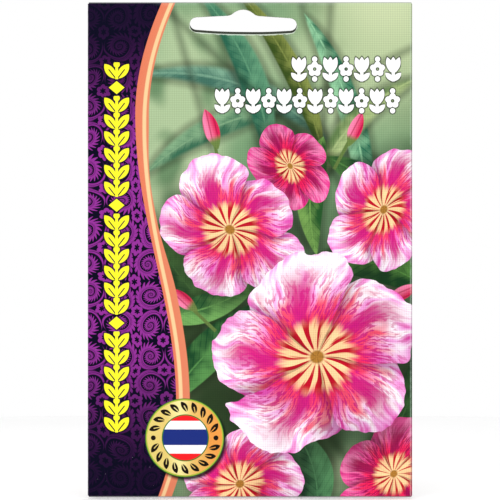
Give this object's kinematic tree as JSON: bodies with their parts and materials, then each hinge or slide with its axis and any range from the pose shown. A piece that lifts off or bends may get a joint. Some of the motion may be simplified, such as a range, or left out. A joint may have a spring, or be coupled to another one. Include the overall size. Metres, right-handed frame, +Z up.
{
  "type": "seed packet",
  "caption": "Flat printed paper seed packet with a euro hang slot, folded and glued flaps at the back, a purple ornament band and a blossom picture on the front, and seeds inside",
  "frame": {"origin": "where a peg bears: the highest point of the euro slot's hump, in the middle of the header's thickness", "axes": "+X to the right as seen from the printed front, +Y out of the back, +Z up; the packet hangs upright and its front faces -Y"},
  "size_m": [0.097, 0.0046, 0.148],
  "materials": {
    "printed_paper": "four-colour print on coated white paper, satin gloss",
    "dried_glue": "thin film of dried glue",
    "seed_coat": "dry tan seed coat, finely ridged"
  },
  "bodies": {
    "root": {"packet_sleeve": "printed_paper", "side_seam_glue": "dried_glue", "bottom_flap_glue": "dried_glue", "top_flap_glue": "dried_glue", "mouth_glue": "dried_glue", "seed_1": "seed_coat", "seed_2": "seed_coat", "seed_3": "seed_coat", "seed_4": "seed_coat", "seed_5": "seed_coat"}
  },
  "joints": []
}
